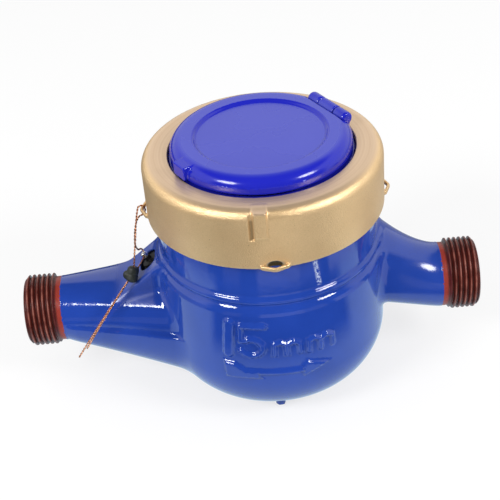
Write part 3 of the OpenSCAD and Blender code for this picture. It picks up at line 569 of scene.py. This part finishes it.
def metal_named(name, one, other, rough, scale=120.0, grain=0.15):
    made, tree = finish_named(name)
    drift = drift_in(tree, scale, rough - 0.06, rough + 0.1)
    tint = blend_of(tree, drift.outputs["Mask"], one, other)
    body = put(
        tree, "ShaderNodeBsdfPrincipled", Base_Color=tint, Metallic=1.0, Roughness=drift.outputs["Value"],
        Normal=grain_in(tree, 1500.0, grain, 0.0002)
    )
    put(tree, "ShaderNodeOutputMaterial", Surface=body.outputs[0])
    return made


def dress(material, *names):
    for name in names:
        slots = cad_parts[name].data.materials
        slots.clear()
        slots.append(material)


white_plastic = plastic_named("white_plastic", (0.70, 0.69, 0.64, 1), (0.78, 0.77, 0.73, 1), 0.42)
steel = metal_named("bright_steel", (0.55, 0.55, 0.54, 1), (0.68, 0.68, 0.66, 1), 0.28)
dress(white_plastic, "strainer", "chamber", "impeller", "gear_case")
dress(steel, "pivot")


# Register: gear plates and a train of cream plastic wheels that step the vane wheel down to the pointers.
# The wheels are moulded with their arbors and turn between the two plates.
gear_plastic = plastic_named("cream_gears", (0.66, 0.58, 0.42, 1), (0.75, 0.68, 0.52, 1), 0.36)
plate_plastic = plastic_named("register_plates", (0.56, 0.56, 0.55, 1), (0.66, 0.66, 0.64, 1), 0.45)
dress(plate_plastic, "register_base", "register_top")
dress(
    gear_plastic, "first_gear", "star_gear", *["pointer_gear_%d" % i for i in range(1, 9)],
    *["idler_%d" % i for i in range(1, 8)]
)


# Dial and hands: a white printed disc with eight small scales, red hands for parts and black for whole units.
# The little star in the middle turns at the least flow.
dial_white = plastic_named("dial_white", (0.88, 0.88, 0.86, 1), (0.93, 0.93, 0.91, 1), 0.5)
hand_red = plastic_named("hand_red", (0.55, 0.016, 0.014, 1), (0.64, 0.024, 0.018, 1), 0.35)
hand_black = plastic_named("hand_black", (0.012, 0.012, 0.013, 1), (0.022, 0.022, 0.024, 1), 0.35)
dress(dial_white, "dial")
dress(hand_red, "star", *["pointer_%d" % i for i in range(1, 5)])
dress(hand_black, *["pointer_%d" % i for i in range(5, 9)])
ink_z, scale_out, figure_out, tick_out, sign_out = 79.02, 18.6, 5.1, 3.9, 27.6


def print_on_dial(name, signs, material):
    ink = bmesh.new()
    for words, height, x, y, turn in signs:
        line = bpy.data.curves.new("sign", "FONT")
        line.body, line.size, line.resolution_u = words, height * 0.001, 2
        line.align_x, line.align_y = "CENTER", "CENTER"
        sign = bpy.data.objects.new("sign", line)
        bpy.context.scene.collection.objects.link(sign)
        bpy.context.view_layer.update()
        flat = bpy.data.meshes.new_from_object(sign)
        flat.transform(
            Matrix.Translation((x * 0.001, y * 0.001, ink_z * 0.001)) @ Matrix.Rotation(turn, 4, "Z")
        )
        ink.from_mesh(flat)
        bpy.data.objects.remove(sign)
        bpy.data.curves.remove(line)
        bpy.data.meshes.remove(flat)
    printed = bpy.data.meshes.new(name)
    ink.to_mesh(printed)
    ink.free()
    printed.materials.append(material)
    piece = bpy.data.objects.new(name, printed)
    bpy.context.scene.collection.objects.link(piece)
    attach(piece, "meter")


def tick_marks(name, marks, material):
    verts, faces = [], []
    for x, y, turn, long, wide in marks:
        ux, uy = math.cos(turn), math.sin(turn)
        for a, b in ((-1, -1), (1, -1), (1, 1), (-1, 1)):
            tip_x = x + ux * a * long / 2 - uy * b * wide / 2
            tip_y = y + uy * a * long / 2 + ux * b * wide / 2
            verts.append((tip_x, tip_y, ink_z))
        faces.append(tuple(range(len(verts) - 4, len(verts))))
    mesh_piece(name, verts, faces, material, smooth=False)


ink_black = plastic_named("ink_black", (0.010, 0.010, 0.011, 1), (0.018, 0.018, 0.019, 1), 0.55)
ink_red = plastic_named("ink_red", (0.50, 0.016, 0.014, 1), (0.58, 0.022, 0.018, 1), 0.55)
scales = ("x0.0001", "x0.001", "x0.01", "x0.1", "x1", "x10", "x100", "x1000")
unit_sign = ("m³", 3.2, 0.0, 5.2, 0.0)
for first, colour, ink, unit in ((0, "red", ink_red, None), (4, "black", ink_black, unit_sign)):
    signs, marks = [], []
    for i in range(first, first + 4):
        out = math.radians(200 - 45 * i)
        cx, cy = scale_out * math.cos(out), scale_out * math.sin(out)
        for n in range(10):
            turn = out - n * math.radians(36)
            signs.append((str(n), 1.5, cx + figure_out * math.cos(turn), cy + figure_out * math.sin(turn), 0.0))
            marks.append((cx + tick_out * math.cos(turn), cy + tick_out * math.sin(turn), turn, 0.9, 0.22))
        signs.append((scales[i], 1.35, sign_out * math.cos(out), sign_out * math.sin(out), out - math.pi / 2))
    if unit:
        signs.append(unit)
    print_on_dial("dial_figures_" + colour, signs, ink)
    tick_marks("dial_ticks_" + colour, marks, ink)


# Glass: a thick pane of clear toughened glass on a black rubber ring, with a thin slip ring over it.
# The collar clamps the three together on the rim of the gear case.
glass, tree = finish_named("clear_glass")
smear = drift_in(tree, 40.0, 0.0, 0.02)
pane = put(
    tree, "ShaderNodeBsdfPrincipled", Base_Color=(0.96, 0.985, 0.975, 1), Roughness=smear.outputs["Value"],
    IOR=1.5, Transmission_Weight=1.0
)
put(tree, "ShaderNodeOutputMaterial", Surface=pane.outputs[0])
rubber = plastic_named("black_rubber", (0.014, 0.014, 0.014, 1), (0.026, 0.026, 0.025, 1), 0.7)
dress(glass, "glass")
dress(rubber, "glass_gasket", "regulator_seal")
dress(white_plastic, "slip_ring")


# Lid seat: a blue moulded ring held under the lip of the collar, with the two outer knuckles of the hinge.
# It stands proud of the collar only by a thin rim around the lid.
def bar(x, y, z, cx, cz, radius, low, high, edge):
    q = np.hypot(x - cx, z - cz) - radius + edge
    e = np.abs(y - (low + high) / 2) - (high - low) / 2 + edge
    return np.hypot(np.maximum(q, 0), np.maximum(e, 0)) + np.minimum(np.maximum(q, e), 0) - edge


def block(x, y, z, low, high, edge):
    q = [np.abs(c - (a + b) / 2) - (b - a) / 2 + edge for c, a, b in zip((x, y, z), low, high)]
    outer = np.sqrt(sum(np.maximum(c, 0) ** 2 for c in q))
    return outer + np.minimum(np.maximum(np.maximum(q[0], q[1]), q[2]), 0) - edge


def turned_by(points, angle):
    c, s = math.cos(angle), math.sin(angle)
    return points @ np.array([[c, s, 0], [-s, c, 0], [0, 0, 1]])


hinge_x, hinge_z, barrel_r, pin_r = 29, 97.4, 2.35, 0.85
hinge_turn = math.radians(30)
seat_r, seat_low, seat_top, seat_open, rim_r, rim_top = 37.35, 90.1, 91.0, 29.2, 31.9, 92.0


def seat_field(x, y, z):
    r = np.hypot(x, y)
    ring = np.maximum(turned(r, z, seat_r, seat_low, seat_top, 0.1, 0.1), seat_open - r)
    rim = np.maximum(turned(r, z, rim_r, seat_low, rim_top, 0.1, 0.25), seat_open - r)
    seat = np.minimum(ring, rim)
    for low, high in ((4.15, 10.5), (-10.5, -4.15)):
        seat = joined(seat, bar(x, y, z, hinge_x, hinge_z, barrel_r, low, high, 1.1), 0.3)
        seat = joined(seat, block(x, y, z, (27.8, low, 91.4), (30.0, high, hinge_z), 0.2), 0.3)
    pin_hole = np.maximum(np.hypot(x - hinge_x, z - hinge_z) - pin_r, np.abs(y) - 9.7)
    return np.maximum(seat, -pin_hole)


lid_blue, tree = finish_named("lid_blue")
apart = put(tree, "ShaderNodeSeparateXYZ", Vector=place_in(tree))
flat = put(tree, "ShaderNodeCombineXYZ", X=apart.outputs["X"], Y=apart.outputs["Y"])
radius = put(tree, "ShaderNodeVectorMath", {"operation": "LENGTH"}, in0=flat.outputs[0])
# The lid's top inside the rounded edge gets a lighter blue as a painted sheen, and a higher roughness for a satin
# finish.
satin_and_painted_sheen = eased(tree, radius.outputs["Value"], 0.0268, 0.0292, 1.0, 0.0)
from_step = reckon(tree, "ABSOLUTE", reckon(tree, "ADD", radius.outputs["Value"], -0.02275))
step_edge = eased(tree, from_step, 0.0005, 0.0010)
satin_and_painted_sheen = reckon(tree, "MULTIPLY", satin_and_painted_sheen, step_edge)
drift = drift_in(tree, 30.0, 0.0, 0.03)
tint = blend_of(tree, drift.outputs["Mask"], (0.008, 0.012, 0.37, 1), (0.011, 0.016, 0.41, 1))
tint = blend_of(
    tree, satin_and_painted_sheen, tint, blend_of(tree, drift.outputs["Mask"], (0.038, 0.048, 0.41, 1), (0.046, 0.058, 0.44, 1))
)
rough = ramp(tree, satin_and_painted_sheen, 0.0, 1.0, 0.14, 0.26)
rough = reckon(tree, "ADD", rough, drift.outputs["Value"])
shell = put(
    tree, "ShaderNodeBsdfPrincipled", Base_Color=tint, Roughness=rough, IOR=1.5,
    Normal=grain_in(tree, 400.0, 0.025, 0.0003)
)
put(tree, "ShaderNodeOutputMaterial", Surface=shell.outputs[0])
point, faces, normal = skin(seat_field, (-38, -38, 89), (38, 38, 101), 0.45, 2)
seat = mesh_piece(
    "lid_seat_ring", turned_by(point, hinge_turn), faces, lid_blue,
    normals=turned_by(normal, hinge_turn)
)
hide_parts("lid_seat")


# Collar: a ring nut turned from brass and screwed down over the glass, its side blasted and its top turned bright.
# A wrench pad and four small loops for the seal wire are cast on its side.
collar_r, collar_low, collar_top, collar_round = 41.65, 71.3, 93.1, 4.0
spigot_bore_r, lip_low, lid_bore_r, pad_half = 38.15, 91.0, 32.3, 2.3


def collar_field(x, y, z):
    r = np.hypot(x, y)
    ring = turned(r, z, collar_r, collar_low, collar_top, 0.4, collar_round)
    for quarter in range(4):
        turn = math.radians(90 * quarter + 1.0)
        out, side = x * math.cos(turn) + y * math.sin(turn), y * math.cos(turn) - x * math.sin(turn)
        wall = stroke(out, np.abs(side), [(41.2, 4.6), (41.9, 4.3), (43.45, 0.5), (43.55, 0.0)], 0.5)
        lip = -joined(-wall, -(np.abs(z - 72.1) - 0.78), 0.5)
        dent = (np.sqrt(((out - 41.9) / 1.7) ** 2 + (side / 3.0) ** 2 + ((z - 72.3) / 1.9) ** 2) - 1) * 1.5
        ring = cut(ring, dent, 0.5)
        ring = joined(ring, np.where(out > 0, lip, 9.0), 0.35)
    turn = math.radians(270 - 4.6)
    out, side = x * math.cos(turn) + y * math.sin(turn), y * math.cos(turn) - x * math.sin(turn)
    foot = 0.75 * (out - 41.5) - 0.66 * (z - 83.2)
    pad = np.maximum(block(out, side, z, (36.5, -pad_half, 82.0), (42.3, pad_half, 92.98), 0.4), foot)
    ring = joined(ring, pad, 0.8)
    groove = np.maximum(np.hypot((out - 41.9) / 1.1, (side + 2.8) / 0.75) * 0.85 - 0.85, 82.6 - z)
    ring = cut(ring, groove, 0.7)
    bore = np.minimum(turned(r, z, spigot_bore_r, 40, lip_low, 0.1, 0.1), r - lid_bore_r)
    return cut(ring, bore, 0.35)


def between(tree, mask, one, other):
    return put(tree, "ShaderNodeMix", {"data_type": "FLOAT"}, in0=mask, in2=one, in3=other).outputs[0]


brass, tree = finish_named("brass")
where = place_in(tree)
apart = put(tree, "ShaderNodeSeparateXYZ", Vector=where)
top = ramp(tree, apart.outputs["Z"], 0.0922, 0.0930)
flat = put(tree, "ShaderNodeCombineXYZ", X=apart.outputs["X"], Y=apart.outputs["Y"])
radius = put(tree, "ShaderNodeVectorMath", {"operation": "LENGTH"}, in0=flat.outputs[0])
lathe = put(
    tree, "ShaderNodeTexNoise", {"noise_dimensions": "1D"}, W=radius.outputs["Value"], Scale=1500.0, Detail=2.0
)
drift = drift_in(tree, 70.0, 0.0, 1.0)
speck = put(tree, "ShaderNodeTexNoise", Vector=where, Scale=2600.0, Detail=2.0)
pit = ramp(tree, speck.outputs["Fac"], 0.27, 0.22)
side_tint = blend_of(tree, drift.outputs["Mask"], (0.86, 0.595, 0.31, 1), (0.95, 0.68, 0.375, 1))
sand = ramp(tree, speck.outputs["Fac"], 0.35, 0.65, 0.16, 0.0)
side_tint = blend_of(tree, sand, side_tint, (0.50, 0.33, 0.16, 1))
side_tint = blend_of(tree, pit, side_tint, (0.30, 0.19, 0.09, 1))
top_tint = blend_of(tree, lathe.outputs["Fac"], (0.66, 0.46, 0.29, 1), (0.80, 0.60, 0.41, 1))
# Painted shade: the wall is darkened inside the dents behind the wire loops, and less in the groove beside the
# wrench pad, where shade falls.
sunk = ramp(tree, radius.outputs["Value"], 0.0414, 0.0408)
below = ramp(tree, apart.outputs["Z"], 0.0902, 0.0896)
low_down = ramp(tree, apart.outputs["Z"], 0.0762, 0.0752, 0.6, 1.0)
painted_shade = reckon(tree, "MULTIPLY", sunk, below)
painted_shade = reckon(tree, "MULTIPLY", painted_shade, low_down)
side_tint = blend_of(tree, painted_shade, side_tint, (0.10, 0.068, 0.03, 1))
tint = blend_of(tree, top, side_tint, top_tint)
rough = between(tree, top, 0.35, 0.36)
high = between(
    tree, top, reckon(tree, "MULTIPLY", speck.outputs["Fac"], 0.9),
    reckon(tree, "MULTIPLY", lathe.outputs["Fac"], 0.2)
)
bump = put(tree, "ShaderNodeBump", Strength=0.9, Distance=0.0002, Height=high)
metal = between(tree, top, 0.74, 0.72)
body = put(
    tree, "ShaderNodeBsdfPrincipled", Base_Color=tint, Metallic=metal, Roughness=rough, Normal=bump.outputs[0]
)
put(tree, "ShaderNodeOutputMaterial", Surface=body.outputs[0])
point, faces, normal = skin(collar_field, (-45.5, -45.5, 70.5), (45.5, 45.5, 94), 0.5, 2)
collar = mesh_piece("collar_nut", point, faces, brass, normals=normal)
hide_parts("collar")


# Lid: a blue moulded cap with a full rounded edge and a shallow sunk panel, kept bare.
# Its middle knuckle swings on the hinge pin, and a small thumb tab stands out across from the hinge.
def lid_field(x, y, z):
    r = np.hypot(x, y)
    lid_r, lid_low, lid_top, lid_round, panel_r, panel_deep = 31.3, 92.3, 98.7, 4.5, 23.5, 1.05
    sink = np.clip((panel_r - r) / 1.5, 0, 1)
    sunk = panel_deep * sink * sink * (3 - 2 * sink)
    lowered = z + np.where(z > 96.6, sunk, sunk * np.clip((z - 95.6), 0, 1))
    cap = turned(r, lowered, lid_r, lid_low, lid_top, 0.3, lid_round)
    hollow = np.maximum(turned(r, z, 29.3, 90, 96.2, 0.1, 0.6), x - 24.3)
    cap = cut(cap, hollow, 0.3)
    cap = cut(cap, np.maximum(26.3 - x, np.abs(y) - 11.1), 0.5)
    cap = joined(cap, bar(x, y, z, hinge_x, hinge_z, barrel_r, -4, 4, 0.3), 0.3)
    cap = joined(cap, block(x, y, z, (25.6, -4, 95.2), (28.6, 4, 97.0), 0.2), 0.4)
    cap = joined(cap, block(x, y, z, (-32.6, -3.4, 93.4), (-27.3, 3.4, 98.2), 0.45), 0.35)
    return np.maximum(cap, -(np.hypot(x - hinge_x, z - hinge_z) - pin_r))


point, faces, normal = skin(lid_field, (-34, -33, 93), (33, 33, 101), 0.42, 2)
lid = mesh_piece(
    "lid_cap", turned_by(point, hinge_turn), faces, lid_blue, body="lid",
    normals=turned_by(normal, hinge_turn)
)
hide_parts("lid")


# Hinge pin: a moulded rod pressed through the three knuckles, in the colour of the lid.
# The outer knuckles are closed, so nothing of it shows.
dress(lid_blue, "hinge_pin")


# Regulating screw: a small steel screw sunk in the slanted boss on a rubber washer, its head painted near-black as
# shade from the recess.
# Its bright post is drilled through for the seal wire.
head_r, shank_r, post_r, post_top = 3.35, 2.4, 1.15, 2.6
wire_hole_up, wire_hole_r = 1.6, 0.5


def screw_field(x, y, z):
    up, along = screw_frame(x, z)
    around = np.hypot(along, y)
    head = turned(around, up, head_r, -1.8, -0.9, 0.2, 0.35)
    shank = turned(around, up, shank_r, -7.2, -1.5, 0.3, 0.1)
    post = turned(around, up, post_r, -1.5, post_top, 0.2, 0.5)
    whole = joined(np.minimum(head, shank), post, 0.5)
    return np.maximum(whole, -(np.hypot(along, up - wire_hole_up) - wire_hole_r))


screw_steel, tree = finish_named("screw_steel")
where = place_in(tree)
rise = put(
    tree, "ShaderNodeVectorMath", {"operation": "DOT_PRODUCT"}, in0=where, in1=(-boss_sin, 0.0, boss_cos)
)
# Painted shade: below the post the screw is coloured near-black and non-metal where it sits in the shaded recess.
bare = ramp(tree, rise.outputs["Value"], 0.0681, 0.0684)
drift = drift_in(tree, 400.0, 0.2, 0.36)
tint = blend_of(
    tree, bare, (0.012, 0.012, 0.013, 1),
    blend_of(tree, drift.outputs["Mask"], (0.60, 0.60, 0.58, 1), (0.78, 0.78, 0.76, 1))
)
body = put(
    tree, "ShaderNodeBsdfPrincipled", Base_Color=tint, Metallic=bare, Roughness=drift.outputs["Value"],
    Specular_IOR_Level=0.06, Normal=grain_in(tree, 1500.0, 0.15, 0.0002)
)
put(tree, "ShaderNodeOutputMaterial", Surface=body.outputs[0])
point, faces, normal = skin(screw_field, (-50, -4, 41), (-38, 4, 57), 0.24, 2)
screw = mesh_piece("screw", point, faces, screw_steel, normals=normal)
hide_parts("regulator_screw")


# Seal wire: two thin copper strands twisted together, threaded through the collar's loop and the screw's post.
# The ends run through a dark crimped bead and stick out past it.
route = np.array([
    [-71.5, -20.5, 24.5], [-67.94, -19.82, 29.51], [-64.37, -18.7, 34.22],
    [-60.8, -17.15, 38.62], [-57.23, -15.16, 42.71], [-53.66, -12.74, 46.5],
    [-51.21, -10.82, 48.92], [-48.9, -8.9, 51.4], [-48.3, -8.6, 54], [-47.5, -7.6, 59],
    [-46.7, -5.6, 63.5], [-46.1, -3.6, 67.5], [-45.5, -2, 70.4], [-45, -1, 72.3],
    [-44.7, -0.7, 73.2], [-43.75, -0.4, 73.65], [-42.8, -0.1, 73.2], [-42.42, 0.1, 72.2],
    [-42.42, 0.2, 71.2], [-42.75, 0.2, 70.2], [-43.7, 0.1, 69.5], [-44.9, -0.4, 69.1],
    [-46, -1.8, 67.6], [-46.8, -3.4, 64.5], [-47.2, -4.8, 60.5], [-46.7, -3, 57], [-46, 1, 54.4],
    [-45.4, 1.8, 53], [-45, 0, 52.4], [-45.4, -2.2, 52], [-47.2, -6, 51.2], [-48.7, -8.4, 50.2],
    [-51.46, -11.74, 48.99], [-54.09, -14.41, 46.58], [-57.48, -17.21, 43.05],
    [-60.86, -19.29, 39], [-64.25, -20.64, 34.45], [-68, -21.3, 28.8]])
line = []
for i in range(len(route) - 1):
    a, b, c, d = route[max(i - 1, 0)], route[i], route[i + 1], route[min(i + 2, len(route) - 1)]
    for t in np.arange(0, 1, 0.125):
        bend = (2 * a - 5 * b + 4 * c - d) * t * t + (3 * b - a - 3 * c + d) * t ** 3
        line.append(0.5 * (2 * b + (c - a) * t + bend))
line = np.array(line + [route[-1]])
step = np.linalg.norm(np.diff(line, axis=0), axis=1)
gone = np.concatenate([[0], np.cumsum(step)])
wire_length = gone[-1]
spacing, twist, strand_r, strand_out = 0.22, 2.4, 0.18, 0.175
even = np.linspace(0, wire_length, int(wire_length / spacing))
line = np.stack([np.interp(even, gone, line[:, i]) for i in range(3)], 1)
ahead_of = np.gradient(line, axis=0)
ahead_of /= np.linalg.norm(ahead_of, axis=1)[:, None]
side = np.cross(ahead_of[0], (0, 0, 1.0))
side /= np.linalg.norm(side)
sides = []
for t in ahead_of:
    side = side - t * (side @ t)
    side /= np.linalg.norm(side)
    sides.append(side)
sides = np.array(sides)
lifts = np.cross(ahead_of, sides)
verts, faces = [], []
ring = 8
for strand in (0.0, math.pi):
    base = len(verts)
    for i, p in enumerate(line):
        turn = strand + even[i] / twist * 2 * math.pi
        middle = p + strand_out * (math.cos(turn) * sides[i] + math.sin(turn) * lifts[i])
        for j in range(ring):
            w = j / ring * 2 * math.pi
            verts.append(middle + strand_r * (math.cos(w) * sides[i] + math.sin(w) * lifts[i]))
    for i in range(len(line) - 1):
        for j in range(ring):
            k = (j + 1) % ring
            faces.append(
                (base + i * ring + j, base + i * ring + k, base + (i + 1) * ring + k, base + (i + 1) * ring + j)
            )
    last = base + (len(line) - 1) * ring
    faces.append(tuple(base + j for j in range(ring))[::-1])
    faces.append(tuple(last + j for j in range(ring)))
copper = metal_named("copper_wire", (0.62, 0.27, 0.13, 1), (0.80, 0.42, 0.26, 1), 0.3, 250.0, 0.1)
wire = mesh_piece("seal_wire_pair", verts, faces, copper)
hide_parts("seal_wire")

bead_lead = plastic_named("bead_dark", (0.006, 0.008, 0.007, 1), (0.018, 0.024, 0.019, 1), 0.5, 200.0)
bead_at, bead_axis = np.array([-49.2, -9.1, 50.8]), np.array([0.25, 0.4330127, 0.8660254])


def bead_field(x, y, z):
    px, py, pz = x - bead_at[0], y - bead_at[1], z - bead_at[2]
    on = px * bead_axis[0] + py * bead_axis[1] + pz * bead_axis[2]
    away = np.sqrt(np.maximum(px * px + py * py + pz * pz - on * on, 0))
    ball = np.sqrt(px * px + py * py + pz * pz) - 3.05
    solid = -joined(-ball, -(away - 2.08), 0.5)
    solid = solid + 0.16 * np.exp(-(on / 0.35) ** 2)
    ex, ey, ez = px + 2.0, py - 0.2, pz + 0.3
    lobe = (np.sqrt((ex / 1.45) ** 2 + (ey / 1.45) ** 2 + (ez / 1.75) ** 2) - 1) * 1.45
    return joined(solid, lobe, 0.5)


point, faces, normal = skin(bead_field, bead_at - (4.4, 3.6, 3.6), bead_at + 3.6, 0.2, 2)
bead = mesh_piece("bead", point, faces, bead_lead, normals=normal)
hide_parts("seal_bead")
